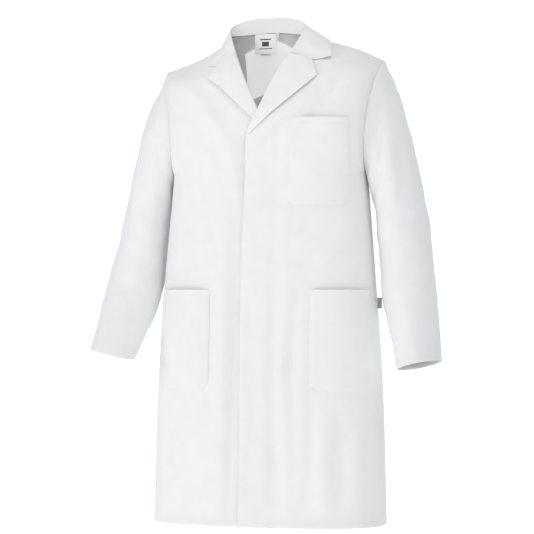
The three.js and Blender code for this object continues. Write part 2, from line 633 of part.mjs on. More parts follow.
function addStuds() {
  for (let i = 0; i < STUD_COUNT; i += 1) {
    const face = onFront(STUD_X, -STUD_TOP_DROP - i * STUD_PITCH).p;
    const front = SOCKET_DEPTH + STUD_TILT;
    const back = front + SOCKET_HEIGHT;
    const ring = [[STUD_BORE, front], [STUD_RADIUS, front], [STUD_RADIUS, back], [STUD_BORE, back]];
    add(`stud_socket_${i + 1}`, turned(ring, face), studMetal, false, true);
    const disc = back + STUD_CLEARANCE - STUD_TILT;
    const post = STUD_BORE - STUD_CLEARANCE;
    const stud = [[0, front + STUD_RECESS], [post, front + STUD_RECESS], [post, disc], [STUD_RADIUS, disc],
      [STUD_RADIUS, disc + STUD_DISC_HEIGHT - STUD_TILT], [0, disc + STUD_DISC_HEIGHT - STUD_TILT]];
    add(`stud_post_${i + 1}`, turned(stud, face), studMetal, false, true);
  }
}

function box(width, depth, height, x, y, z) {
  return new THREE.BoxGeometry(width, depth, height).translate(x, y, z);
}

function addTrim() {
  const inside = backDepth(0) - 2 * CLOTH - 2.2; // face of the stand at the nape
  const loop = (turn, across) => {
    const reach = across * LOOP.band;
    const x = (LOOP.halfWidth + reach) * Math.cos(turn);
    return { p: vec(x, inside - 0.9, LOOP.top - (LOOP.sag + reach) * Math.sin(turn)), n: vec(0, -1, 0) };
  };
  const loopOptions = { from: -LOOP.thick, thick: LOOP.thick };
  add('hanger_loop', skin(loop, steps(12, 0, Math.PI), [0, 1], loopOptions), innerCloth);
  const labelDepth = inside - LOOP.thick - 1.8;
  const labelZ = LABEL.top - LABEL.height / 2;
  add('neck_label', box(LABEL.width, LABEL.thick, LABEL.height, LABEL.x, labelDepth, labelZ), labelCloth);
  const sizeDepth = labelDepth - LABEL.thick - LAYER_GAP;
  const sizeZ = labelZ - LABEL.height / 3;
  const size = box(LABEL.width / 2, LABEL.thick, LABEL.height / 2, LABEL.x, sizeDepth, sizeZ);
  add('size_label', size, labelCloth);
  const tabX = halfWidth(-SIDE_TAB.drop - SIDE_TAB.height / 2) + SEAM_GAP + SIDE_TAB.width / 2;
  add('side_seam_tab', box(SIDE_TAB.width, SIDE_TAB.thick, SIDE_TAB.height, tabX, 0, -SIDE_TAB.drop), tabCloth);
}

addFronts();
addEdgeStrips();
addBack();
addHems();
addSleeves();
addLapels();
addCollar();
addPockets();
addStuds();
addTrim();
export default coat;
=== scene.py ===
import math
import bpy
import numpy as np
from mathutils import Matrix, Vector


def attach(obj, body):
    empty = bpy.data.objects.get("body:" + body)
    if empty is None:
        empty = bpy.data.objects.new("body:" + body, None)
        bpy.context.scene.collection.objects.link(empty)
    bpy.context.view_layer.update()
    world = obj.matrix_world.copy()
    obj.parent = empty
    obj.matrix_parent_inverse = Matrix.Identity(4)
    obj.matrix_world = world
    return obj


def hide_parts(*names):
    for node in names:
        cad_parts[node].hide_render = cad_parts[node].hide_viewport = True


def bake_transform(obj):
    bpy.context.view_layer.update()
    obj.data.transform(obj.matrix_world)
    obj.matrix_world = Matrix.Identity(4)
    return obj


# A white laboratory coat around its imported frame. Shapes are worked out in millimetres on the
# coat's own axis, the same as in its CAD, and become metres when a mesh is made.
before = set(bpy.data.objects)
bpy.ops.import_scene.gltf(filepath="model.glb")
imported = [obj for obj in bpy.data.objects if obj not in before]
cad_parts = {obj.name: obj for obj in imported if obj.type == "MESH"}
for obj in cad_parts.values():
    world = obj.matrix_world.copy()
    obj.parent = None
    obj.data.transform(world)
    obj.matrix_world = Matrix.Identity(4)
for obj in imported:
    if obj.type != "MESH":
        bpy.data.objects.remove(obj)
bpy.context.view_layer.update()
print("frame loaded:", len(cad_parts), "nodes")

coat = {
    "length": 1030,
    "napeDepth": 45,
    "armpitDrop": 300,
    "halfWidths": [[206, -300], [226, -540], [240, -760], [247, -1030]],
    "shoulderTip": [235, 50, -68],
    "underarm": [206, 8, -300],
    "armholeHalfDepth": 60,
    "armholeHollow": 9,
    "neckPoint": [84, 14, -10],
    "squareness": 2.6,
    "seamGap": 0.5,
    "layer": 2,
    "clothThick": 1.3,
    "innerThick": 1.0,
}
skirtLength = coat["length"] - coat["armpitDrop"]


def smooth(value, low, high):
    t = np.clip((np.asarray(value, float) - low) / (high - low), 0, 1)
    return t * t * (3 - 2 * t)


def mix(a, b, t):
    return a + (b - a) * t


def unit(v):
    return v / np.maximum(np.linalg.norm(v, axis=-1, keepdims=True), 1e-9)


def spot(x, y, z):
    return np.stack(np.broadcast_arrays(np.asarray(x, float), y, z), -1).astype(float)


def mirrored(p):
    return p * np.array([-1.0, 1.0, 1.0])


def profile(pairs, at):
    # value at each place on a smooth line through [value, place] pairs
    line = np.array(sorted(pairs, key=lambda pair: pair[1]), float)
    value, place = line[:, 0], line[:, 1]
    at = np.clip(at, place[0], place[-1])
    i = np.clip(np.searchsorted(place, at) - 1, 0, len(place) - 2)
    before, after = np.maximum(i - 1, 0), np.minimum(i + 2, len(place) - 1)
    span = place[i + 1] - place[i]
    u = (at - place[i]) / span
    m1 = (value[i + 1] - value[before]) / (place[i + 1] - place[before]) * span
    m2 = (value[after] - value[i]) / (place[after] - place[i]) * span
    return ((2 * u**3 - 3 * u**2 + 1) * value[i] + (u**3 - 2 * u**2 + u) * m1
            + (3 * u**2 - 2 * u**3) * value[i + 1] + (u**3 - u**2) * m2)


class Line:
    # a smooth line through points, each span taking an equal share of it
    def __init__(self, points):
        p = np.array(points, float)
        self.p = np.vstack([2 * p[0] - p[1], p, 2 * p[-1] - p[-2]])

    def __call__(self, share):
        share = np.clip(np.asarray(share, float), 0, 1)
        spans = len(self.p) - 3
        i = np.minimum((share * spans).astype(int), spans - 1)
        w = (share * spans - i)[..., None]
        p0, p1, p2, p3 = (self.p[i + k] for k in range(4))
        d0, d1, d2 = (np.sqrt(np.maximum(np.linalg.norm(b - a, axis=-1, keepdims=True), 1e-6))
                      for a, b in ((p0, p1), (p1, p2), (p2, p3)))
        t1 = ((p1 - p0) / d0 - (p2 - p0) / (d0 + d1) + (p2 - p1) / d1) * d1
        t2 = ((p2 - p1) / d1 - (p3 - p1) / (d1 + d2) + (p3 - p2) / d2) * d1
        return (p1 + t1 * w + (3 * (p2 - p1) - 2 * t1 - t2) * w**2
                + (2 * (p1 - p2) + t1 + t2) * w**3)

    def direction(self, share):
        tiny = 1e-4
        share = np.asarray(share, float)
        return unit(self(np.minimum(share + tiny, 1)) - self(np.maximum(share - tiny, 0)))


def ticks(count, first=0.0, last=1.0, edges=()):
    # evenly spaced values with a few more beside each end, where a hem or a rim turns
    values = np.linspace(first, last, count + 1)
    extra = [first + e for e in edges] + [last - e for e in edges]
    return np.unique(np.concatenate([values, np.array(extra, float)]))


def ridge(x, z, path, width, height, lean=0.0):
    # a soft fold along a path, fading at both ends; lean puts a valley on one side of it
    path = np.array(path, float)
    lengths = np.linalg.norm(np.diff(path, axis=0), axis=1)
    total = lengths.sum()
    best = np.full(np.shape(x), 1e9)
    side = np.zeros(np.shape(x))
    along = np.zeros(np.shape(x))
    done = 0.0
    for a, b, length in zip(path[:-1], path[1:], lengths):
        dx, dz = (b - a) / length
        t = np.clip((x - a[0]) * dx + (z - a[1]) * dz, 0, length)
        ox, oz = x - a[0] - t * dx, z - a[1] - t * dz
        distance = np.hypot(ox, oz)
        closer = distance < best
        best = np.where(closer, distance, best)
        side = np.where(closer, np.sign(ox * dz - oz * dx), side)
        along = np.where(closer, (done + t) / total, along)
        done += length
    fade = np.sin(np.pi * np.clip(0.04 + 0.92 * along, 0, 1)) ** 0.7
    signed = best * side
    body = np.exp(-((best / width) ** 2))
    valley = np.exp(-(((signed - 1.5 * width) / width) ** 2))
    return height * fade * (body - lean * valley)


def folded(x, z, folds):
    return sum(ridge(x, z, **fold) for fold in folds)


def ripples(x, z, seed, size, height, waves=9):
    # gentle unevenness of hanging cloth, the same at every run
    rng = np.random.default_rng(seed)
    total = np.zeros(np.shape(x))
    for _ in range(waves):
        heading = rng.normal(math.pi / 2, 0.8)
        pitch = size * rng.uniform(0.6, 1.7)
        phase, bend = rng.uniform(0, 2 * math.pi, 2)
        across = x * math.sin(heading) + z * math.cos(heading)
        along = x * math.cos(heading) - z * math.sin(heading)
        total += np.sin(2 * math.pi * across / pitch + phase + 1.3 * np.sin(along / (1.4 * pitch) + bend))
    return height * total / math.sqrt(waves)


def groove(distance, at, depth, width=1.6):
    # a sewn line sinks into the cloth at a distance from its edge
    return -depth * np.exp(-(((distance - at) / width) ** 2))


hang = {
    "leftShoulder": [[0, 80], [3, 110], [7, 150], [7, 200], [3, 240]],
    "rightShoulder": [[0, 80], [-10, 105], [-14, 150], [-13, 190], [-9, 240]],
    "neckShift": -6.5,
    "neckDrop": 2.0,
}


def settled(p):
    # the coat hangs with its left shoulder a little high and its neck a little to the right
    x, z = p[:, 0], p[:, 2]
    p = p.copy()
    out = np.abs(x)
    rise = np.where(x > 0, profile(hang["leftShoulder"], out), profile(hang["rightShoulder"], out))
    p[:, 2] += rise * smooth(z, -200, -50)
    nearNeck = smooth(z, -260, -90) * (1 - smooth(out, 95, 200))
    p[:, 0] += hang["neckShift"] * nearNeck
    p[:, 2] -= hang["neckDrop"] * nearNeck
    return p


def gridNormals(grid, ring=False):
    if ring:
        wide = np.concatenate([grid[:, -1:], grid, grid[:, :1]], axis=1)
        across = np.gradient(wide, axis=1)[:, 1:-1]
    else:
        across = np.gradient(grid, axis=1)
    return unit(np.cross(np.gradient(grid, axis=0), across))


def outwardNormals(grid, ring=False, centre=(0, 20)):
    n = gridNormals(grid, ring)
    away = grid - spot(centre[0], centre[1], grid[..., 2])
    sign = 1 if (n * away).sum() > 0 else -1
    return n * sign, sign


def makeSheet(name, outer, thick=coat["clothThick"], ring=False, centre=(0, 20), flip=False):
    # a closed cloth from the grid of its outer face, with a rounded rim; rows x columns x 3, in mm
    rows, cols = outer.shape[:2]
    n, sign = outwardNormals(outer, ring, centre)
    inner = outer - n * np.asarray(thick, float)[..., None]
    count = rows * cols
    stepsDown = np.linalg.norm(np.diff(outer, axis=0), axis=-1).mean(1)
    wide = np.concatenate([outer, outer[:, :1]], axis=1) if ring else outer
    stepsAcross = np.linalg.norm(np.diff(wide, axis=1), axis=-1).mean(0)
    v = np.concatenate([[0], np.cumsum(stepsDown)]) / 1000
    u = np.concatenate([[0], np.cumsum(stepsAcross)]) / 1000
    uGrid, vGrid = np.meshgrid(u, v)
    uv = np.stack([uGrid, vGrid], -1)
    i, j = np.meshgrid(np.arange(rows - 1), np.arange(cols if ring else cols - 1), indexing="ij")
    corners = [(i, j), (i + 1, j), (i + 1, j + 1), (i, j + 1)]
    face = np.stack([a * cols + b % cols for a, b in corners], -1).reshape(-1, 4)
    faceUv = np.stack([uv[a, b] for a, b in corners], -2).reshape(-1, 4, 2)
    if (sign < 0) != flip:
        face, faceUv = face[:, ::-1], faceUv[:, ::-1]
    faces = [face, face[:, ::-1] + count]
    uvs = [faceUv, faceUv[:, ::-1]]
    points = [outer.reshape(-1, 3), inner.reshape(-1, 3)]
    top = np.array([[0, b] for b in range(cols)])
    bottom = np.array([[rows - 1, b] for b in range(cols)])
    if ring:
        loops = [top[::-1], bottom]
    else:
        left = [[a, 0] for a in range(rows)]
        right = [[a, cols - 1] for a in range(rows - 1, -1, -1)]
        loops = [np.array(left + list(bottom[1:]) + right[1:] + list(top[::-1])[1:-1])]
    base = 2 * count
    for loop in loops:
        a, b = loop[:, 0], loop[:, 1]
        insideA = np.clip(a, 1, rows - 2)
        insideB = b if ring else np.clip(b, 1, cols - 2)
        away = unit(outer[a, b] - outer[insideA, insideB])
        rimThick = np.broadcast_to(np.asarray(thick, float), (rows, cols))[a, b][:, None]
        points.append((outer[a, b] + inner[a, b]) / 2 + away * rimThick * 0.35)
        size = len(loop)
        here, after = np.arange(size), (np.arange(size) + 1) % size
        outerId, midId = a * cols + b, base + here
        rim = [np.stack([outerId[after], outerId, midId, midId[after]], -1),
               np.stack([midId[after], midId, outerId + count, outerId[after] + count], -1)]
        rimUv = np.repeat(uv[a, b][:, None], 4, 1)
        for part in rim:
            turned = part[:, ::-1] if (sign < 0) != flip else part
            faces.append(turned)
            uvs.append(rimUv)
        base += size
    allPoints = np.vstack(points)
    if flip:
        allPoints = mirrored(allPoints)
    allPoints = settled(allPoints) + np.array([0.0, -coat["napeDepth"], 0.0])
    mesh = bpy.data.meshes.new(name)
    mesh.from_pydata((allPoints / 1000).tolist(), [], np.vstack(faces).tolist())
    mesh.uv_layers.new(name="ClothUV").data.foreach_set("uv", np.vstack(uvs).ravel())
    mesh.polygons.foreach_set("use_smooth", [True] * len(mesh.polygons))
    mesh.set_sharp_from_angle(angle=math.radians(38))
    mesh.update()
    made = bpy.data.objects.new(name, mesh)
    bpy.context.collection.objects.link(made)
    return made


class Wire:
    # a socket that can be added, multiplied and so on in an expression
    def __init__(self, tree, socket=None):
        self.tree = tree
        self.socket = socket

    def node(self, kind, settings=(), inputs=(), output=0):
        made = self.tree.nodes.new(kind)
        for key, value in dict(settings).items():
            setattr(made, key, value)
        for key, value in dict(inputs).items():
            if isinstance(value, Wire):
                self.tree.links.new(value.socket, made.inputs[key])
            else:
                made.inputs[key].default_value = value
        return Wire(self.tree, made.outputs[output] if made.outputs else None)

    def sum(self, operation, a, b=0.0):
        return self.node("ShaderNodeMath", {"operation": operation}, {0: a, 1: b})

    def __add__(self, other):
        return self.sum("ADD", self, other)

    __radd__ = __add__

    def __mul__(self, other):
        return self.sum("MULTIPLY", self, other)

    __rmul__ = __mul__

    def __sub__(self, other):
        return self.sum("SUBTRACT", self, other)

    def __rsub__(self, other):
        return self.sum("SUBTRACT", other, self)


def newMaterial(name, shader):
    made = bpy.data.materials.new(name)
    made.use_nodes = True
    tree = made.node_tree
    tree.nodes.clear()
    wire = Wire(tree)
    surface = shader(wire)
    out = tree.nodes.new("ShaderNodeOutputMaterial")
    tree.links.new(surface.socket, out.inputs["Surface"])
    return made


def clothUv(wire):
    uv = wire.node("ShaderNodeUVMap", {"uv_map": "ClothUV"})
    split = wire.tree.nodes.new("ShaderNodeSeparateXYZ")
    wire.tree.links.new(uv.socket, split.inputs[0])
    return Wire(wire.tree, split.outputs[0]), Wire(wire.tree, split.outputs[1])


def mixColour(wire, factor, low, high):
    return wire.node("ShaderNodeMix", {"data_type": "RGBA"}, {0: factor, 6: low, 7: high}, output=2)


clothLook = {
    "colour": (0.86, 0.872, 0.876, 1),
    "shade": (0.80, 0.815, 0.822, 1),
    "threadPitch": 0.00055,
    "roughness": 0.82,
    # emission that makes the cloth glow: painted light, off for the coat itself
    "glow": 0.3,
    "glowDepth": 0.002,
    "paintedGlow": 0.0,
    "mottleScale": 38.0,
    "slubScale": 420.0,
    "bump": 0.2,
}


def clothShader(look):
    def shader(wire):
        u, v = clothUv(wire)
        place = wire.node("ShaderNodeTexCoord", output=3)
        turns = 2 * math.pi / look["threadPitch"]
        warp = wire.sum("SINE", (u + v) * turns)
        weft = wire.sum("SINE", (u - v * 0.5) * turns)
        weave = warp * 0.5 + weft * 0.5
        mottle = wire.node("ShaderNodeTexNoise", {}, {
            "Vector": place, "Scale": look["mottleScale"], "Detail": 4.0})
        slub = wire.node("ShaderNodeTexNoise", {}, {
            "Vector": place, "Scale": look["slubScale"], "Detail": 2.0})
        height = weave * 0.35 + slub * 0.65
        bump = wire.node("ShaderNodeBump", {}, {"Strength": look["bump"], "Distance": 0.0004, "Height": height})
        colour = mixColour(wire, mottle, look["shade"], look["colour"])
        rough = slub * 0.12 + (look["roughness"] - 0.06)
        return wire.node("ShaderNodeBsdfPrincipled", {}, {
            "Base Color": colour, "Roughness": rough, "Normal": bump,
            "Specular IOR Level": 0.25, "Sheen Weight": 0.12, "Sheen Roughness": 0.6,
            "Subsurface Weight": look["glow"], "Subsurface Radius": (1, 1, 1),
            "Subsurface Scale": look["glowDepth"],
            "Emission Color": look["colour"], "Emission Strength": look["paintedGlow"],
        })
    return shader


coatCloth = newMaterial("coatCloth", clothShader(clothLook))
liningLook = dict(clothLook, colour=(0.84, 0.855, 0.86, 1), shade=(0.81, 0.83, 0.838, 1))
liningCloth = newMaterial("liningCloth", clothShader(liningLook))
# the neck facing glows faintly: painted light standing in for the light that would reach the coat's inside
facingPaintedGlow = newMaterial("facingPaintedGlow", clothShader(dict(liningLook, paintedGlow=0.46)))
tabLook = dict(clothLook, colour=(0.36, 0.39, 0.41, 1), shade=(0.28, 0.31, 0.33, 1),
               threadPitch=0.0008)
tabRibbon = newMaterial("tabRibbon", clothShader(tabLook))


def labelShader(wire):
    # a woven label: white satin with plain dark bars, each by its low and high v and its half width
    u, v = clothUv(wire)
    across = wire.sum("ABSOLUTE", u - labelLook["width"] / 2000)
    bars = None
    for low, high, half in labelLook["bars"]:
        inside = (wire.sum("GREATER_THAN", v, low) * wire.sum("LESS_THAN", v, high)
                  * wire.sum("LESS_THAN", across, half))
        bars = inside if bars is None else wire.sum("MAXIMUM", bars, inside)
    threads = wire.sum("SINE", v * (2 * math.pi / labelLook["threadPitch"]))
    bump = wire.node("ShaderNodeBump", {}, {"Strength": 0.1, "Distance": 0.0002, "Height": threads})
    colour = mixColour(wire, bars, labelLook["ground"], labelLook["ink"])
    return wire.node("ShaderNodeBsdfPrincipled", {}, {
        "Base Color": colour, "Roughness": 0.45, "Normal": bump, "Sheen Weight": 0.2})


labelLook = {
    "width": 46,
    "threadPitch": 0.0004,
    "ground": (0.93, 0.935, 0.94, 1),
    "ink": (0.06, 0.065, 0.07, 1),
    "bars": [(0.010, 0.0125, 0.012), (0.016, 0.026, 0.0075), (0.030, 0.0318, 0.014)],
}
labelSatin = newMaterial("labelSatin", labelShader)


def metalShader(wire):
    place = wire.node("ShaderNodeTexCoord", output=3)
    brushed = wire.node("ShaderNodeTexNoise", {}, {"Vector": place, "Scale": 900.0, "Detail": 3.0})
    bump = wire.node("ShaderNodeBump", {}, {"Strength": 0.08, "Distance": 0.0002, "Height": brushed})
    return wire.node("ShaderNodeBsdfPrincipled", {}, {
        "Base Color": mixColour(wire, brushed, (0.62, 0.63, 0.64, 1), (0.75, 0.76, 0.77, 1)),
        "Metallic": 1.0, "Roughness": brushed * 0.2 + 0.22, "Normal": bump})


studMetal = newMaterial("studMetal", metalShader)
print("materials made")


# the body's outline is laid out on the wearer's left and turned over for the right
shoulderTip = np.array(coat["shoulderTip"], float)
underarm = np.array(coat["underarm"], float)
neckPoint = np.array(coat["neckPoint"], float)
armholeCentre = (shoulderTip + underarm) / 2
armholeReach = shoulderTip - armholeCentre
hemZ, armpitZ = -coat["length"], -coat["armpitDrop"]


def armholePoint(angle, side):
    # angle 0 is the shoulder tip, pi the underarm; side -1 is the front
    p = armholeCentre + armholeReach * np.cos(angle)[..., None]
    p[..., 1] += side * coat["armholeHalfDepth"] * np.sin(angle)
    p[..., 0] -= coat["armholeHollow"] * np.sin(angle) ** 2
    return p


def halfWidth(z):
    return profile(coat["halfWidths"], z)


def sideSeam(z):
    return spot(halfWidth(z), underarm[1] * smooth(z, -540, armpitZ), z)


def bulge(share):
    power = coat["squareness"]
    return (1 - np.clip(share, 0, 1) ** power) ** (1 / power)


front = {
    "edge": [[24, -222], [28, -300], [37, -540], [37, -1030]],
    "breakDrop": 222,
    "foldTopX": -28,
    "foldFootX": 145,
    "underFoldDrop": 600,
    "chestDepth": 98.5,
    "foldFootDepth": 113,
    "underDepth": 8.4,
    "innerEdge": [[-28, -98.5, -300], [-24, -98.5, -222], [0, -95, -177], [37, -65, -95],
                  [58, -38, -54], [74, -14, -28], [84, 14, -10]],
    "armholeAngles": [[180, 0], [109, 1], [86, 2], [52, 3], [34, 4], [17, 5], [0, 6]],
    "flat": (0.36, 1.06),
    "area": 0.28,
    "flyWidth": 66,
    "edgeSetback": 3,
    "flyDepth": 2.4,
    "flyFlat": (0.066, 0.83),
    "flyRows": (0.03, 1.25),
    "edgeStitch": 5,
    "foldSpread": (-7, 9),
}


def foldX(z):
    return mix(front["foldTopX"], front["foldFootX"], (armpitZ - z) / (armpitZ - hemZ))


def frontDepth(z):
    depth = mix(front["chestDepth"], front["foldFootDepth"], (armpitZ - z) / (armpitZ - hemZ))
    return depth / bulge(foldX(z) / halfWidth(z))


def edgeX(z):
    return -profile(front["edge"], z)


def innerEdge(under):
    points = np.array(front["innerEdge"], float)
    if under:
        points[:, 1] += front["underDepth"] * (1 - smooth(points[:, 2], -177, -95))
    return Line(points)


innerEdges = [innerEdge(False), innerEdge(True)]


def frontRow(level, under):
    # both ends of a row: level 0 is the hem, 1 the armpit, 2 the shoulder seam
    level = np.asarray(level, float)
    z = mix(hemZ, armpitZ, np.minimum(level, 1))
    depth = frontDepth(z) - (front["underDepth"] if under else 0)
    share = np.clip(level - 1, 0, 1)
    angle = np.radians(profile(front["armholeAngles"], share * 6))
    upper = (level > 1)[..., None]
    a = np.where(upper, innerEdges[int(under)](share), spot(edgeX(z), -depth, z))
    b = np.where(upper, armholePoint(angle, -1), sideSeam(z))
    return a, b, np.where(level > 1, smooth(share, 0.5, 1), 0.0)


back = {
    "depths": [[45, 0], [68, -55], [91, -150], [96, -230],
               [90, -400], [86, -560], [98, -850], [107, -1030]],
    "neck": [[0, 45, 0], [34, 41, -2], [63, 30, -6], [84, 14, -10]],
    "armholeAngles": [[180, 0], [140, 1], [105, 2], [70, 3], [35, 4], [0, 5]],
    "neckStart": 0.7,
    "ventHeight": 330,
    "ventUnderlap": 45,
    "ventDepth": 2.6,
    "ventFlat": (0.047, 0.31),
    "flat": (0.33, 1.05),
    "area": 0.27,
}
backNeck = Line(back["neck"])


def backRow(level):
    level = np.asarray(level, float)
    share = np.clip(level - 1, 0, 1)
    start = back["neckStart"]
    z = np.where(level > 1, mix(armpitZ, 0, np.minimum(1, share / start)),
                 mix(hemZ, armpitZ, np.minimum(level, 1)))
    middle = spot(0, profile(back["depths"], z), z)
    a = np.where((share > start)[..., None], backNeck((share - start) / (1 - start)), middle)
    angle = np.radians(profile(back["armholeAngles"], share * 5))
    b = np.where((level > 1)[..., None], armholePoint(angle, 1), sideSeam(z))
    return a, b, np.where(level > 1, smooth(share, 0.1, 0.5), 0.0)


def rowPoint(row, share):
    # a row is a rounded quarter of the body, and turns straight towards the shoulder
    a, b, straight = row
    start = np.maximum(0, a[..., 0])
    x = start + share * (b[..., 0] - start)
    turn = mix(bulge(share), 1 - np.maximum(0, share), straight)
    y = b[..., 1] + (a[..., 1] - b[..., 1]) * turn
    return spot(x, y, mix(a[..., 2], b[..., 2], (x - a[..., 0]) / (b[..., 0] - a[..., 0])))


def facePoint(rowAt, level, share):
    # evens out the turn of the surface where the skirt rows meet the chest rows
    reach = 0.14 * (1 - smooth(np.abs(level - 1), 0.0, 0.3)) * (1 - smooth(share, 0.92, 1))
    offsets = np.linspace(-1, 1, 9)
    weights = np.cos(offsets * math.pi / 2.2) ** 2
    points = [rowPoint(rowAt(level + offset * reach), share) * weight
              for offset, weight in zip(offsets, weights)]
    return sum(points) / weights.sum()


alongShoulder = unit(shoulderTip - neckPoint)
shoulderNormal = unit(np.array([0, 0, 1.0]) - alongShoulder * alongShoulder[2])


def bodySurface(rowAt, level, share, side):
    # point and outward normal at a level and a share of the row
    nudge, step = 1e-5, 0.002
    level, share = np.broadcast_arrays(np.asarray(level, float), np.asarray(share, float))
    p = facePoint(rowAt, level, share)
    across = facePoint(rowAt, level, np.minimum(1, share + nudge)) - facePoint(rowAt, level, share - nudge)
    up = facePoint(rowAt, np.minimum(2, level + step), share) - facePoint(rowAt, level - step, share)
    n = unit(np.cross(across, up) * -side)
    if side > 0:
        n[..., 0] *= smooth(share, 0, 0.1)
    n = unit(mix(n, shoulderNormal, smooth(level, 1.9, 2)[..., None]))
    p[..., 1] += side * coat["seamGap"] / 2
    return p, n


def shareAt(row, x):
    start = np.maximum(0, row[0][..., 0])
    return np.minimum(1, (x - start) / (row[1][..., 0] - start))


def onFront(x, z, under=False):
    # the front at places seen from ahead
    x, z = np.broadcast_arrays(np.asarray(x, float), np.asarray(z, float))
    low, high = np.zeros(x.shape), np.full(x.shape, 2.0)

    def held(row):
        return shareAt(row, np.clip(x, row[0][..., 0], row[1][..., 0]))

    for _ in range(30):
        level = (low + high) / 2
        below = facePoint(lambda at: frontRow(at, under), level, held(frontRow(level, under)))[..., 2] < z
        low, high = np.where(below, level, low), np.where(below, high, level)
    return bodySurface(lambda at: frontRow(at, under), low, held(frontRow(low, under)), -1)


# folds in the hanging cloth: x to the wearer's left and z along each path, in mm
drape = {
    "front": [
        {"path": [[66, -480], [52, -700], [60, -860], [72, -1030]], "width": 15, "height": 7.0, "lean": 0.6},
        {"path": [[98, -560], [92, -760], [100, -1030]], "width": 17, "height": 4.6, "lean": 0.4},
        {"path": [[20, -520], [18, -760], [24, -1030]], "width": 16, "height": 2.2},
        {"path": [[-51, -380], [-53, -700], [-57, -1030]], "width": 12, "height": -4.2},
        {"path": [[-78, -420], [-80, -700], [-86, -1030]], "width": 18, "height": 4.0, "lean": 0.5},
        {"path": [[-120, -780], [-116, -900], [-122, -1030]], "width": 22, "height": 3.0},
        {"path": [[44, -640], [56, -690], [40, -735]], "width": 9, "height": 3.6, "lean": 0.5},
        {"path": [[165, -90], [120, -150], [70, -215], [48, -300]], "width": 15, "height": 5.5, "lean": 0.6},
        {"path": [[190, -120], [150, -175]], "width": 12, "height": 2.6, "lean": 0.5},
        {"path": [[70, -330], [52, -400], [50, -470]], "width": 13, "height": 3.0, "lean": 0.4},
        {"path": [[-172, -105], [-120, -165], [-66, -250], [-50, -340]],
         "width": 17, "height": 5.5, "lean": 0.5},
        {"path": [[-190, -180], [-150, -260], [-130, -360]], "width": 15, "height": 3.0, "lean": 0.4},
        {"path": [[-188, -330], [-120, -420], [-96, -520]], "width": 16, "height": 2.6, "lean": 0.3},
        {"path": [[186, -390], [150, -470], [120, -560]], "width": 18, "height": 2.6, "lean": 0.3},
        {"path": [[205, -800], [200, -900], [205, -1030]], "width": 18, "height": 4.0, "lean": 0.4},
        {"path": [[142, -770], [136, -900], [140, -1030]], "width": 20, "height": 6.5, "lean": 0.6},
    ],
    "back": [
        {"path": [[70, -120], [60, -360], [74, -700], [90, -1030]], "width": 24, "height": 5, "lean": 0.5},
        {"path": [[-80, -140], [-66, -400], [-86, -720], [-96, -1030]],
         "width": 24, "height": 5, "lean": 0.5},
        {"path": [[150, -260], [140, -560], [160, -1030]], "width": 26, "height": 5, "lean": 0.4},
        {"path": [[-150, -260], [-144, -560], [-166, -1030]], "width": 26, "height": 5, "lean": 0.4},
        {"path": [[190, -120], [90, -180], [0, -196]], "width": 16, "height": 3, "lean": 0.4},
        {"path": [[-190, -120], [-90, -180], [0, -196]], "width": 16, "height": 3, "lean": 0.4},
    ],
}


def seamFade(share):
    # folds die out where the fronts and the back are sewn together
    return smooth(1 - share, 0.0, 0.12)


def frontLift(x, z):
    calm = smooth(z, -60, -160)
    return (folded(x, z, drape["front"]) + ripples(x, z, 5, 120, 0.9) * calm
            + ripples(x, z, 11, 46, 0.22) * calm)


def backLift(x, z):
    calm = smooth(z, -30, -160)
    return (folded(x, z, drape["back"]) * calm + ripples(x, z, 23, 130, 1.0) * calm
            + ripples(x, z, 29, 48, 0.2) * calm)


def sew(obj, material, *nodes, slot="coat_cloth"):
    obj.data.materials.append(material)
    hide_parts(*nodes)
    return obj


skirtLevels = ticks(128, 0, 1, edges=(0.0012, 0.0035))
upperLevels = ticks(72, 1, 2, edges=(0.004, 0.012))
levels = np.unique(np.concatenate([skirtLevels, upperLevels]))


def frontGrid(under, rows, places, limits=None, depth=0.0, lift=None):
    a, b, _ = row = frontRow(rows, under)
    x0, x1 = limits(a, b) if limits else (a[:, 0], b[:, 0])
    x = mix(x0[:, None], x1[:, None], np.sin(places * math.pi / 2)[None])
    wideRow = (a[:, None], b[:, None], row[2][:, None])
    share = shareAt(wideRow, x)
    if limits is None:
        share[:, -1] = 1
    p, n = bodySurface(lambda at: frontRow(at, under), rows[:, None], share, -1)
    sign = -1 if under else 1
    height = frontLift(sign * p[..., 0], p[..., 2]) * seamFade(share)
    if lift is not None:
        height = height + lift(p, share, rows[:, None] + 0 * share)
    return p + n * (height - depth)[..., None]


seams = {
    "side": {"at": 0, "depth": 0.3, "width": 3},
    "shoulder": {"at": 0, "depth": 0.5, "width": 4},
    "hemStitch": {"at": 19, "depth": 0.5, "width": 2.2},
    "skirtSpan": 200,
    "chestSpan": 140,
    "chestHeight": 280,
}


def sewnIn(share, level):
    # the cloth turns in at the side, armhole and shoulder seams, and its hem is stitched
    span = seams["skirtSpan"] - (seams["skirtSpan"] - seams["chestSpan"]) * smooth(level, 1, 2)
    return (groove((1 - share) * span, **seams["side"])
            + groove((2 - level) * seams["chestHeight"], **seams["shoulder"])
            + groove(level * skirtLength, **seams["hemStitch"]))


def frontDips(p, share, level):
    # the front edge and the fly are stitched
    edge = np.where(level < 1.15, p[..., 0] - edgeX(p[..., 2]), 999)
    return (sewnIn(share, level) + groove(edge, front["edgeStitch"], 0.3, 1.5)
            + groove(edge, front["flyWidth"], 0.6, 2.4))


places = ticks(62, 0, 1, edges=(0.004, 0.012))


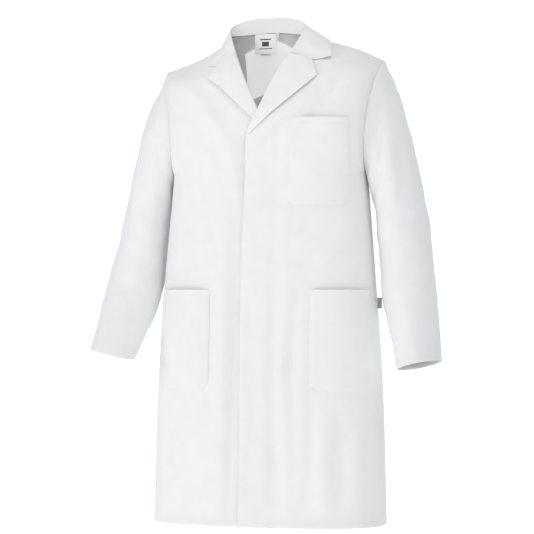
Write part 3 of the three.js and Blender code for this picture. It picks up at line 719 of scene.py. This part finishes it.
def blendOverFold(obj, under):
    # the oblique fold line of the lower front corner is worked out but not used; the piece's transform is baked
    x0, z0 = front["foldTopX"], -front["underFoldDrop"] if under else armpitZ
    x1, z1 = front["foldFootX"], hemZ
    run = unit(np.array([x1 - x0, z1 - z0], float))
    inboard = np.array([run[1], -run[0]])
    if inboard[0] > 0:
        inboard = -inboard
    middle = np.array([(x0 + x1) / 2, (z0 + z1) / 2])
    sign = -1 if under else 1
    for reach in front["foldSpread"]:
        x, z = middle + inboard * reach
        sign * x / 1000
        z / 1000
    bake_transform(obj)


for under, side in ((False, "left"), (True, "right")):
    grid = frontGrid(under, levels, places, lift=frontDips)
    panel = makeSheet(side + "Front", grid, flip=under)
    sew(panel, coatCloth, f"front_{side}_panel", f"front_{side}_flap")
    blendOverFold(panel, under)
print("fronts made")


# the second layers behind the front edges
stripRows = levels[(levels > front["flyRows"][0]) & (levels < front["flyRows"][1])]
for under, side, kind in ((False, "left", "fly"), (True, "right", "facing")):
    setback = front["edgeSetback"]
    grid = frontGrid(under, stripRows, ticks(12), depth=front["flyDepth"],
                     limits=lambda a, b: (a[:, 0] + setback, a[:, 0] + setback + front["flyWidth"]))
    strip = makeSheet(kind + "Strip", grid, coat["innerThick"], flip=under)
    sew(strip, liningCloth, kind + "_upper", kind + "_lower")
    blendOverFold(strip, under)


def backGrid(rows, sidePlaces, limits=None, depth=0.0, sign=1, lift=None):
    a, b, straight = backRow(rows)
    x0, x1 = limits(a, b) if limits else (np.maximum(a[:, 0], 0.25), b[:, 0])
    x = mix(x0[:, None], x1[:, None], np.sin(sidePlaces * math.pi / 2)[None])
    share = shareAt((a[:, None], b[:, None], None), x)
    if limits is None:
        share[:, -1] = 1
    p, n = bodySurface(backRow, rows[:, None], share, 1)
    height = backLift(sign * p[..., 0], p[..., 2]) * seamFade(share)
    if lift is not None:
        height = height + lift(p, share, rows[:, None] + 0 * share)
    return p + n * (height - depth)[..., None]


def backDips(p, share, level):
    # the centre back seam, with a line of stitching beside it
    return sewnIn(share, level) + groove(p[..., 0], 0, 1.4, 4) + groove(p[..., 0], 8, 0.4)


for sign, side in ((1, "left"), (-1, "right")):
    panel = makeSheet(side + "Back", backGrid(levels, places, sign=sign, lift=backDips), flip=sign < 0)
    sew(panel, coatCloth, f"back_{side}_panel")
    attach(panel, "body")

ventRows = np.linspace(0.03, back["ventHeight"] / skirtLength, 60)
ventGrid = backGrid(ventRows, ticks(14), depth=back["ventDepth"],
                    limits=lambda a, b: (a[:, 0] - 2, a[:, 0] + back["ventUnderlap"]))
vent = makeSheet("ventUnderlap", ventGrid, coat["innerThick"])
sew(vent, liningCloth, "back_vent_underlap")
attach(vent, "body")

neckFacing = {"halfWidth": 62, "drop": 112, "depth": 2.9, "topGap": 0.02, "flat": (0.124, 0.115)}


def facingGrid():
    start = back["neckStart"]
    foot = 1 + start * (1 - neckFacing["drop"] / coat["armpitDrop"])
    rows = np.linspace(foot, 1 + start - neckFacing["topGap"], 36)
    x = np.linspace(-neckFacing["halfWidth"], neckFacing["halfWidth"], 61)
    x = np.broadcast_to(x, (len(rows), len(x)))
    row = backRow(rows)
    share = shareAt((row[0][:, None], row[1][:, None], None), np.abs(x))
    p, n = bodySurface(backRow, rows[:, None], share, 1)
    grid = p + n * (backLift(x, p[..., 2]) - neckFacing["depth"])[..., None]
    grid[..., 0] *= np.where(x < 0, -1, 1)
    return grid


facing = makeSheet("neckFacing", facingGrid(), coat["innerThick"])
# the facing takes the glowing material, which paints light on the inside of the neck
sew(facing, facingPaintedGlow, "back_neck_facing")
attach(facing, "body")
print("back made")


# the turned-up hems inside the skirt
hem = {"height": 20, "depth": 2.4, "frontFlat": (0.33, 0.021), "backFlat": (0.30, 0.021)}
hemRows = np.linspace(0.0008, hem["height"] / skirtLength, 9)


def hemLimits(a, b):
    return a[:, 0] + 1, b[:, 0] - 1


for under, side in ((False, "left"), (True, "right")):
    grid = frontGrid(under, hemRows, places, hemLimits, hem["depth"])
    strip = makeSheet(side + "FrontHem", grid, coat["innerThick"], flip=under)
    sew(strip, liningCloth, f"front_{side}_hem", f"flap_{side}_hem")
    blendOverFold(strip, under)
for sign, side in ((1, "left"), (-1, "right")):
    grid = backGrid(hemRows, places, hemLimits, hem["depth"], sign)
    strip = makeSheet(side + "BackHem", grid, coat["innerThick"], flip=sign < 0)
    sew(strip, liningCloth, f"back_{side}_hem")
    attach(strip, "body")
print("hems made")


# each sleeve is a row of rings from the armhole to the cuff
sleeves = {
    "left": {
        "tilt": 0.4,
        "outer": [[235, 50, -68], [270, 48, -150], [314, 34, -310], [345, 5, -480], [374, -60, -688]],
        "inner": [[206, 8, -300], [221, 14, -368], [231, 12, -450], [243, -8, -560], [287, -84, -707]],
        "folds": [
            {"path": [[262, -560], [300, -520], [345, -500]], "width": 17, "height": 2.6, "lean": 0.3},
            {"path": [[240, -480], [290, -470], [338, -430]], "width": 18, "height": 2.0, "lean": 0.3},
            {"path": [[268, -140], [300, -260], [322, -400]], "width": 16, "height": 3.5, "lean": 0.4},
            {"path": [[240, -110], [262, -240], [280, -380]], "width": 13, "height": 3.0, "lean": 0.4},
            {"path": [[300, -560], [318, -640], [334, -700]], "width": 13, "height": 3.0, "lean": 0.3},
        ],
    },
    "right": {
        "tilt": 0.0,
        "outer": [[235, 50, -68], [268, 48, -150], [309, 34, -310], [341, 2, -480], [363, -92, -668]],
        "inner": [[206, 8, -300], [219, 14, -368], [227, 12, -450], [236, -14, -560], [262, -116, -689]],
        "folds": [
            {"path": [[228, -490], [262, -520], [310, -500]], "width": 15, "height": 3.6, "lean": 0.4},
            {"path": [[232, -440], [270, -450], [318, -410]], "width": 16, "height": 3.0, "lean": 0.4},
            {"path": [[262, -120], [282, -260], [288, -420]], "width": 15, "height": 4, "lean": 0.5},
            {"path": [[238, -100], [250, -220], [256, -360]], "width": 12, "height": 3, "lean": 0.4},
            {"path": [[280, -560], [300, -620], [318, -690]], "width": 14, "height": 3.5, "lean": 0.4},
        ],
    },
}
sleeveCut = {
    "length": 640,
    "halfDepths": [[60, 0], [70, 1], [67, 2], [57, 3], [44, 4]],
    "girthRadius": 62,
    "flat": (0.46, 0.64),
    "area": 0.26,
    "cuffHem": 30,
    "cuffStitch": {"at": 28, "depth": 0.6, "width": 2.2},
    "cuffEnd": 0.998,
    "cuffDepth": 2.0,
    "cuffFlat": (0.34, 0.031),
    "swingStart": (0.232, -0.016, -0.1),
    "swingEnd": (0.2697, -0.016, -0.1047),
}


def sleeveRing(side, share, turn):
    outer, inner = Line(sleeves[side]["outer"]), Line(sleeves[side]["inner"])
    o, i = outer(share), inner(share)
    centre = (o + i) / 2
    along = unit(outer.direction(share) + inner.direction(share))
    tilt = sleeves[side]["tilt"]
    depth = np.array([0, 1.0, 0]) - along * (along[..., 1] * tilt * smooth(share, 0, 1))[..., None]
    depth = unit(depth)
    p = (centre + (o - centre) * np.cos(turn)[..., None]
         + depth * (profile(sleeveCut["halfDepths"], share * 4) * np.sin(turn))[..., None])
    p[..., 0] -= coat["armholeHollow"] * np.sin(turn) ** 2 * (1 - smooth(share, 0, 0.25))
    p[..., 0] += coat["seamGap"] * (1 - smooth(share, 0, 0.1))
    return p


def sleeveGrid(side, shares, turns, depth=0.0, sewn=True):
    share, turn = np.meshgrid(shares, turns, indexing="ij")
    p = sleeveRing(side, share, turn)
    tiny = 0.004
    down = (sleeveRing(side, np.minimum(1, share + tiny), turn)
            - sleeveRing(side, np.maximum(0, share - tiny), turn))
    around = sleeveRing(side, share, turn + tiny) - sleeveRing(side, share, turn - tiny)
    n = unit(np.cross(down, around))
    n[..., 0] *= smooth(share, 0, 0.05)
    n = unit(n)
    ahead = smooth(-np.sin(turn), -0.2, 0.5)
    height = folded(p[..., 0], p[..., 2], sleeves[side]["folds"]) * ahead
    girth, length = turn * sleeveCut["girthRadius"], sleeveCut["length"]
    seed = 41 if side == "left" else 47
    height += (ripples(girth, share * length, seed, 110, 1.3)
               + ripples(girth, share * length, seed + 2, 44, 0.3))
    height *= smooth(share, 0, 0.1) * (1 - 0.6 * smooth(share, 0.93, 1))
    if sewn:
        # the head stands a little full, dips at its seam and tucks in under the armhole edge
        height += 1.2 * (1 - smooth(share, 0.01, 0.06)) * smooth(share, 0.001, 0.008)
        height -= 0.6 * (1 - smooth(share, 0, 0.003))
        height += groove((1 - share) * length, **sleeveCut["cuffStitch"])
        p[..., 0] -= 2.6 * (1 - smooth(share, 0, 0.004))
    return p + n * (height - depth)[..., None]


sleeveTurns = np.linspace(0, 2 * math.pi, 97)[:-1]
sleeveShares = ticks(120, 0.0006, 1, edges=(0.0015, 0.004, 0.008))
cuffShares = np.linspace(1 - sleeveCut["cuffHem"] / sleeveCut["length"], sleeveCut["cuffEnd"], 9)
for side, sign in (("left", 1), ("right", -1)):
    sleeve = makeSheet(side + "Sleeve", sleeveGrid(side, sleeveShares, sleeveTurns), ring=True,
                       centre=(285, 10), flip=sign < 0)
    sew(sleeve, coatCloth, f"top_sleeve_{side}", f"under_sleeve_{side}")
    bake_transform(sleeve)
    grid = sleeveGrid(side, cuffShares, sleeveTurns, sleeveCut["cuffDepth"], sewn=False)
    cuff = makeSheet(side + "CuffHem", grid, coat["innerThick"], ring=True, centre=(320, -70), flip=sign < 0)
    sew(cuff, liningCloth, f"cuff_hem_{side}")
    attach(cuff, "arm_" + side)
print("sleeves made")


lapel = {
    "tip": {"left": [120, -104], "right": [110, -94]},
    "notch": {"left": [105, -68], "right": [100, -64]},
    "footX": -20,
    "tipShare": 0.86,
    "footShare": 1 / 6 + 0.012,
    "gorgeShare": 4 / 6,
    "rollRadius": 2.6,
    "belly": 4.0,
    "rimLift": 3.5,
    "thick": 2.0,
    "tuck": 9,
    "flat": (0.10, 0.20),
    "area": 0.012,
}


def lapelGrid(under):
    edge = innerEdges[int(under)]
    shares = np.unique(np.concatenate([ticks(70, edges=(0.004,)), [lapel["tipShare"]]]))
    roll = edge(mix(lapel["footShare"], lapel["gorgeShare"], shares))
    part = np.minimum(1, shares / lapel["tipShare"])
    upper = np.maximum(0, (shares - lapel["tipShare"]) / (1 - lapel["tipShare"]))
    side = "right" if under else "left"
    tip, notch = lapel["tip"][side], lapel["notch"][side]
    rimX = mix(mix(lapel["footX"], tip[0], part), notch[0], upper)
    rimZ = mix(mix(-front["breakDrop"], tip[1], part), notch[1], upper)
    acrosses = ticks(34, 0.02, 1, edges=(0.008,))
    x = mix(roll[:, None, 0], rimX[:, None], acrosses)
    z = mix(roll[:, None, 2], rimZ[:, None], acrosses)
    p, n = onFront(x, z, under)
    sign = -1 if under else 1
    wide = np.hypot(rimX - roll[:, 0], rimZ - roll[:, 2])
    toRim = (1 - acrosses)[None] * wide[:, None]
    stand = lapel["rimLift"] * np.sin(math.pi * np.clip(shares * 0.9, 0, 1))[:, None] * acrosses**3
    lift = (lapel["rollRadius"] + lapel["belly"] * shares[:, None] * np.sin(math.pi * acrosses) ** 0.9 + stand
            + groove(toRim, 6, 0.35, 1.5) + frontLift(sign * p[..., 0], p[..., 2]))
    leaf = p + n * lift[..., None]
    # the roll: from behind the front's edge, round it and on to the leaf
    inward = unit(leaf[:, 1] - leaf[:, 0])
    up = n[:, 0]
    ground = roll + up * frontLift(sign * roll[:, 0], roll[:, 2])[:, None]
    radius = lapel["rollRadius"]
    rounds = [ground + inward * lapel["tuck"] * reach - up * radius for reach in (1.0, 0.6, 0.25)]
    for angle in np.radians(np.linspace(-90, 80, 10)):
        rounds.append(ground - inward * radius * math.cos(angle) + up * radius * math.sin(angle))
    return np.concatenate([np.stack(rounds, 1), leaf], axis=1)


for under, side in ((False, "left"), (True, "right")):
    leaf = makeSheet(side + "Lapel", lapelGrid(under), lapel["thick"], centre=(60, 200), flip=under)
    sew(leaf, coatCloth, f"lapel_{side}")
    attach(leaf, "body")
print("lapels made")


# the collar's stand, roll and fall are one cloth
collar = {
    "foldLine": [[60, -35, -49], [74, -14, -17], [82, 8, 7], [73, 30, 20], [44, 42, 30], [0, 47, 33]],
    "neckSeam": [[58, -33, -53], [72, -11, -26], [82, 13, -7], [62, 29, -4], [34, 40, 0], [0, 44, 2]],
    "leftEdge": [[143, -36, -64], [137, -8, -43], [126, 24, -22],
                 [96, 52, -20], [54, 66, -20], [0, 71, -20]],
    "rightEdge": [[114, -36, -60], [108, -8, -36], [101, 24, -16],
                  [86, 52, -17], [54, 66, -19], [0, 71, -20]],
    "crown": 2.5,
    "thick": 2.0,
    "rollRadius": 2.4,
    "gorgeDip": 9,
    "lift": 4.2,
    "flat": (0.50, 0.10),
    "area": 0.042,
}


def aroundNeck(left, right=None):
    left, right = np.array(left, float), np.array(right or left, float)
    return Line(np.vstack([left, mirrored(right[:-1][::-1])]))


def collarGrid():
    seam, fold = aroundNeck(collar["neckSeam"]), aroundNeck(collar["foldLine"])
    rim = aroundNeck(collar["leftEdge"], collar["rightEdge"])
    shares = ticks(200, edges=(0.001,))
    s, f, e = seam(shares), fold(shares), rim(shares)
    up = spot(0 * shares, 0, 1)
    radius = collar["rollRadius"]
    inward = unit(spot(-s[:, 0], 5 - s[:, 1], 0))
    nearFront = (1 - smooth(np.minimum(shares, 1 - shares), 0.02, 0.2))[:, None]
    crownWay = spot(0 * shares, -1, 0) * nearFront + up * (1 - nearFront)
    rows = [s + inward * 2.4, mix(s, f, 0.35) + inward * 2.2, mix(s, f, 0.7) + inward * 2,
            f + inward * radius - up * radius * 1.5, f + inward * radius * 0.7 + up * 0.2, f + up * 1.3]
    parts = (0.08, 0.25, 0.45, 0.65, 0.85, 1.0)
    rows += [mix(f, e, part) + crownWay * collar["crown"] * math.sin(math.pi * part) for part in parts]
    control = np.stack(rows, 1)
    places = np.unique(np.concatenate([np.linspace(0, 1, 78), [0.994]]))
    grid = np.stack([Line(column)(places) for column in control], 0)
    # the front edge follows the gorge seam down to the notch, then runs out to the tip
    fall = smooth(places, 6 / 11, 8 / 11)[None]
    out = np.clip((places - 6 / 11) / (5 / 11), 0, 1)[None]
    gorge = np.where(out < 0.6, np.sin(math.pi / 2 * out / 0.6), (1 - out) / 0.4)
    nearEnd = 1 - smooth(np.minimum(shares, 1 - shares), 0.0, 0.07)[:, None]
    grid[..., 2] -= collar["gorgeDip"] * gorge * nearEnd
    # near the front the fall lies on the fronts
    p, _ = onFront(np.abs(grid[..., 0]), np.minimum(grid[..., 2], -20))
    limit = p[..., 1] - collar["lift"] - frontLift(grid[..., 0], p[..., 2])
    lain = np.minimum(grid[..., 1], limit)
    grid[..., 1] = mix(grid[..., 1], lain, nearFront * fall)
    return grid


collarPiece = makeSheet("collar", collarGrid(), collar["thick"], centre=(0, 10))
sew(collarPiece, coatCloth, "collar_fall", "collar_stand")
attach(collarPiece, "body")
print("collar made")


skirtPocket = {"inner": 108, "outer": 221, "top": -545, "bottom": -752, "corner": 26, "puff": 6,
               "hem": 9, "flat": (0.135, 0.215)}
pockets = {
    "chestPocket": {"inner": 63, "outer": 185, "top": -192, "bottom": -371, "corner": 22, "puff": 5,
                    "hem": 9, "flat": (0.125, 0.185), "under": False, "node": "chest_pocket"},
    "leftSkirtPocket": dict(skirtPocket, under=False, node="skirt_pocket_left"),
    "rightSkirtPocket": dict(skirtPocket, under=True, node="skirt_pocket_right"),
}
pocketThick, pocketSeamMargin = 1.6, 6


def pocketGrid(cut):
    shares = ticks(74, edges=(0.003, 0.008))
    acrosses = ticks(56, edges=(0.005, 0.014))
    z = mix(cut["bottom"], cut["top"], shares)
    rise = np.clip((z - cut["bottom"]) / cut["corner"], 0, 1)
    inset = cut["corner"] * (1 - np.sqrt(1 - (1 - rise) ** 2))
    side = np.minimum(cut["outer"], halfWidth(z) - pocketSeamMargin)
    x = mix((cut["inner"] + inset)[:, None], (side - inset)[:, None], acrosses)
    zGrid = np.broadcast_to(z[:, None], x.shape)
    p, n = onFront(x, zGrid, cut["under"])
    sign = -1 if cut["under"] else 1
    across = np.broadcast_to(acrosses, x.shape)
    share = np.broadcast_to(shares[:, None], x.shape)
    wide, tall = cut["outer"] - cut["inner"], cut["top"] - cut["bottom"]
    toSide = np.minimum(across, 1 - across) * wide
    rimDistance = np.minimum(toSide, share * tall)
    puff = cut["puff"] * np.clip(4 * across * (1 - across), 0, 1) ** 0.7 * np.clip(3 * share, 0, 1) ** 0.8
    lift = (1.6 + 0.7 * smooth(rimDistance, 0.3, 3) + groove(rimDistance, 2.6, 0.5, 1.2)
            + groove((1 - share) * tall, cut["hem"], 0.7, 1.5) + puff)
    height = (frontLift(sign * p[..., 0], p[..., 2]) + lift
              + ripples(x, zGrid, 61, 60, 0.35) * smooth(rimDistance, 2, 20))
    return p + n * height[..., None]


for name, cut in pockets.items():
    pocket = makeSheet(name, pocketGrid(cut), pocketThick, centre=(100, 200), flip=cut["under"])
    sew(pocket, coatCloth, cut["node"])
    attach(pocket, "body")
print("pockets made")


trim = {
    "labelX": -12, "labelTop": -1, "labelHeight": 42, "labelWidth": 46, "labelFlat": (0.046, 0.042),
    "sizeHalf": 11, "sizeTop": -27, "sizeFoot": -47, "sizeFlat": (0.022, 0.020),
    "loopHalf": 12, "loopSag": 22, "loopBand": 5, "loopTop": 3,
    "loopFlat": (0.010, 0.056), "loopArea": 0.0004,
    "tabDrop": 572, "tabWidth": 9, "tabHeight": 22, "tabFlat": (0.010, 0.022),
    "standDepth": 2.2, "labelStandOff": 3.0,
}
insideY = coat["napeDepth"] - 2 * coat["layer"] - trim["standDepth"]
labelY = insideY - trim["labelStandOff"]


def flatGrid(x0, x1, z0, z1, y, curl=0.0, rows=24, cols=28):
    z, x = np.meshgrid(np.linspace(z1, z0, rows), np.linspace(x0, x1, cols), indexing="ij")
    part = (x - x0) / (x1 - x0)
    down = (z1 - z) / (z1 - z0)
    return spot(x, y - curl * np.sin(math.pi * part) * down, z)


half, labelX, labelTop = trim["labelWidth"] / 2, trim["labelX"], trim["labelTop"]
grid = flatGrid(labelX - half, labelX + half, labelTop - trim["labelHeight"], labelTop, labelY - 0.4, 1.2)
label = makeSheet("neckLabel", grid, 0.6, centre=(0, 400))
sew(label, labelSatin, "neck_label", slot="label_ribbon")
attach(label, "body")
half = trim["sizeHalf"]
grid = flatGrid(labelX - half, labelX + half, trim["sizeFoot"], trim["sizeTop"], labelY + 1.0, 0.6)
sizeLabel = makeSheet("sizeLabel", grid, 0.5, centre=(0, 400))
sew(sizeLabel, liningCloth, "size_label", slot="label_ribbon")
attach(sizeLabel, "body")

turns, bands = np.meshgrid(np.linspace(0, math.pi, 40), np.linspace(0, 1, 6), indexing="ij")
reach = bands * trim["loopBand"]
loopGrid = spot((trim["loopHalf"] + reach) * np.cos(turns), insideY - 0.9,
                trim["loopTop"] - (trim["loopSag"] + reach) * np.sin(turns))
loop = makeSheet("hangerLoop", loopGrid, 1.0, centre=(0, 400))
sew(loop, coatCloth, "hanger_loop")
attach(loop, "body")

half, middle = trim["tabHeight"] / 2, -trim["tabDrop"]
tabX = float(halfWidth(middle - half)) + coat["seamGap"]
grid = flatGrid(tabX, tabX + trim["tabWidth"], middle - half, middle + half, -0.5, 0.3, 20, 10)
tab = makeSheet("sideTab", grid, 1.0, centre=(0, 400))
sew(tab, tabRibbon, "side_seam_tab", slot="side_tab")
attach(tab, "body")

for name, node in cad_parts.items():
    if name.startswith("stud_"):
        node.data.materials.clear()
        node.data.materials.append(studMetal)
print("labels, loop, tab and studs made")


studio = {
    "floorZ": -1.90,
    "key": {"at": (-2.5, -2.5, 0.3), "size": 1.6, "power": 27},
    "fill": {"at": (0.9, -3.9, 0.4), "size": 1.5, "power": 18},
    "top": {"at": (0.6, -1.1, 2.0), "size": 1.4, "power": 17},
    "world": 0.465,
    "worldColour": (0.985, 0.995, 1, 1),
    "stageGlow": 0.55,
    "aimAt": (0, -0.05, -0.5),
}


def stageShader(wire):
    place = wire.node("ShaderNodeTexCoord", output=3)
    grain = wire.node("ShaderNodeTexNoise", {}, {"Vector": place, "Scale": 6.0})
    return wire.node("ShaderNodeBsdfPrincipled", {}, {
        "Base Color": mixColour(wire, grain, (0.9, 0.9, 0.9, 1), (0.92, 0.92, 0.92, 1)), "Roughness": 0.9,
        "Emission Color": (1, 1, 1, 1), "Emission Strength": studio["stageGlow"]})


bpy.ops.object.select_all(action="DESELECT")
bpy.ops.mesh.primitive_plane_add(size=16, location=(0, 1.5, studio["floorZ"]))
floor = bpy.context.object
floor.name = "paleFloor"
bpy.ops.object.mode_set(mode="EDIT")
bpy.ops.mesh.select_mode(type="EDGE")
bpy.ops.mesh.select_all(action="DESELECT")
bpy.ops.object.mode_set(mode="OBJECT")
for edge in floor.data.edges:
    edge.select = all(floor.data.vertices[v].co.y > 1 for v in edge.vertices)
bpy.ops.object.mode_set(mode="EDIT")
bpy.ops.mesh.extrude_region_move(TRANSFORM_OT_translate={"value": (0, 0, 7)})
bpy.ops.object.mode_set(mode="OBJECT")
bevel = floor.modifiers.new("cove", "BEVEL")
bevel.width, bevel.segments = 1.5, 12
bpy.ops.object.modifier_apply(modifier=bevel.name)
bpy.ops.object.shade_smooth()
floor.data.materials.append(newMaterial("paleStage", stageShader))

world = bpy.data.worlds.new("studioWorld")
world.use_nodes = True
background = world.node_tree.nodes["Background"]
background.inputs["Color"].default_value = studio["worldColour"]
background.inputs["Strength"].default_value = studio["world"]
bpy.context.scene.world = world


def aim(obj, target):
    obj.rotation_euler = (Vector(target) - obj.location).to_track_quat("-Z", "Y").to_euler()


for name in ("key", "fill", "top"):
    setting = studio[name]
    light = bpy.data.lights.new(name + "Light", "AREA")
    light.energy, light.size = setting["power"], setting["size"]
    lamp = bpy.data.objects.new(name + "Light", light)
    lamp.location = setting["at"]
    bpy.context.collection.objects.link(lamp)
    aim(lamp, studio["aimAt"])

view = {
    "turn": 14,
    "distance": 4.3,
    "height": -0.545,
    "axisY": -0.045,
    "lens": 138.04,
    "shift": (-3 / 534, 23 / 534),
}
turn, distance = math.radians(view["turn"]), view["distance"]
cameraData = bpy.data.cameras.new("camera")
cameraData.lens, cameraData.sensor_width = view["lens"], 36
cameraData.shift_x, cameraData.shift_y = view["shift"]
camera = bpy.data.objects.new("camera", cameraData)
camera.location = (math.sin(turn) * distance, view["axisY"] - math.cos(turn) * distance, view["height"])
camera.rotation_euler = (math.pi / 2, 0, turn)
bpy.context.collection.objects.link(camera)
bpy.context.scene.camera = camera
bpy.context.scene.view_settings.view_transform = "Standard"
print("studio made")

bpy.context.view_layer.update()
